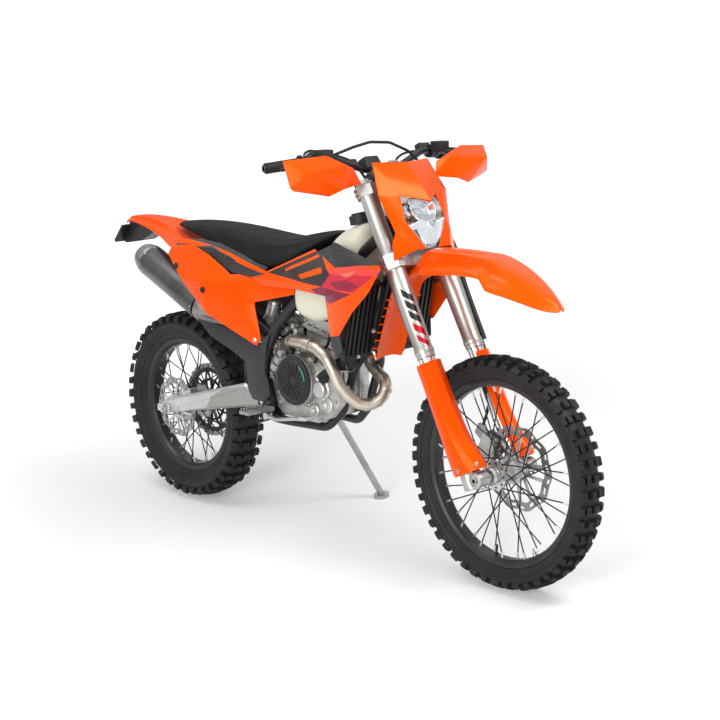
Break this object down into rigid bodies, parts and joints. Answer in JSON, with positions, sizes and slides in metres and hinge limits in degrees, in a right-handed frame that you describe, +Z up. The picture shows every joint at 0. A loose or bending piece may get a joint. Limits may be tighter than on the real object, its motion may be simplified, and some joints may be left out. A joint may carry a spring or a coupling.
{
  "type": "enduro motorcycle",
  "caption": "Enduro motorcycle leaning on its side stand: knobbly spoked wheels, tall fork, handguards, flat seat and chain drive; wheels, steering and stand move.",
  "frame": {"origin": "centre of the bounding box's base, on the floor", "axes": "+X forward, +Y left, +Z up; the bike leans 9 degrees to its left onto its side stand"},
  "size_m": [2.1918, 0.872, 1.3051],
  "materials": {
    "black_metal": "satin",
    "black_plastic": "matte",
    "chrome": "polished",
    "dark_metal": "satin",
    "lens": "clear",
    "orange_plastic": "gloss",
    "rubber": "matte",
    "seat_cover": "ribbed grip cover",
    "silver_metal": "satin",
    "steel": "brushed",
    "tyre_rubber": "matte",
    "white_plastic": "satin"
  },
  "bodies": {
    "chassis": {"main_frame": "black_metal", "subframe": "black_metal", "frame_guards": "black_plastic", "crankcase": "silver_metal", "cylinder_head": "silver_metal", "exhaust_header": "steel", "silencer": "dark_metal", "radiators": "black_plastic", "coolant_hoses": "rubber", "fuel_tank": "white_plastic", "fuel_cap": "black_plastic", "seat": "seat_cover", "shrouds": "orange_plastic", "shroud_covers": "black_plastic", "side_panels": "orange_plastic", "engine_covers": "dark_metal", "rear_fender": "orange_plastic", "tail_unit": "black_plastic", "airbox": "black_plastic", "swingarm": "silver_metal", "rear_shock": "dark_metal", "front_sprocket": "steel", "chain": "steel", "chain_guide": "black_plastic", "footpegs": "silver_metal", "foot_controls": "silver_metal", "rear_caliper": "dark_metal", "rear_axle": "steel"},
    "steering": {"handlebar": "silver_metal", "grips": "rubber", "hand_controls": "dark_metal", "handguards": "orange_plastic", "triple_clamps": "silver_metal", "fork_outer_tubes": "silver_metal", "fork_inner_tubes": "chrome", "fork_guards": "orange_plastic", "front_fender": "orange_plastic", "headlight_mask": "orange_plastic", "headlamp": "lens", "front_caliper": "dark_metal", "front_axle": "steel", "front_brake_hose": "rubber"},
    "front_wheel": {"front_tyre": "tyre_rubber", "front_rim": "black_metal", "front_hub": "silver_metal", "front_disc": "steel"},
    "rear_wheel": {"rear_tyre": "tyre_rubber", "rear_rim": "black_metal", "rear_hub": "silver_metal", "rear_sprocket": "silver_metal", "rear_disc": "steel"},
    "side_stand": {"side_stand": "silver_metal"}
  },
  "joints": [
    {"name": "steering", "type": "hinge", "parent": "chassis", "child": "steering", "pos_m": [0.69907, -0.13985, 0.31805], "axis": [-0.4462, 0.14, 0.8839], "range_deg": [-40, 40]},
    {"name": "front_wheel_spin", "type": "hinge", "parent": "steering", "child": "front_wheel", "pos_m": [0.75008, -0.13587, 0.34317], "axis": [0, 0.9877, -0.1564], "continuous": true},
    {"name": "rear_wheel_spin", "type": "hinge", "parent": "chassis", "child": "rear_wheel", "pos_m": [-0.73692, -0.13755, 0.33258], "axis": [0, 0.9877, -0.1564], "continuous": true},
    {"name": "side_stand_fold", "type": "hinge", "parent": "chassis", "child": "side_stand", "pos_m": [-0.12492, -0.00717, 0.33752], "axis": [0.1452, 0.9225, 0.3575], "range_deg": [0, 97]}
  ]
}
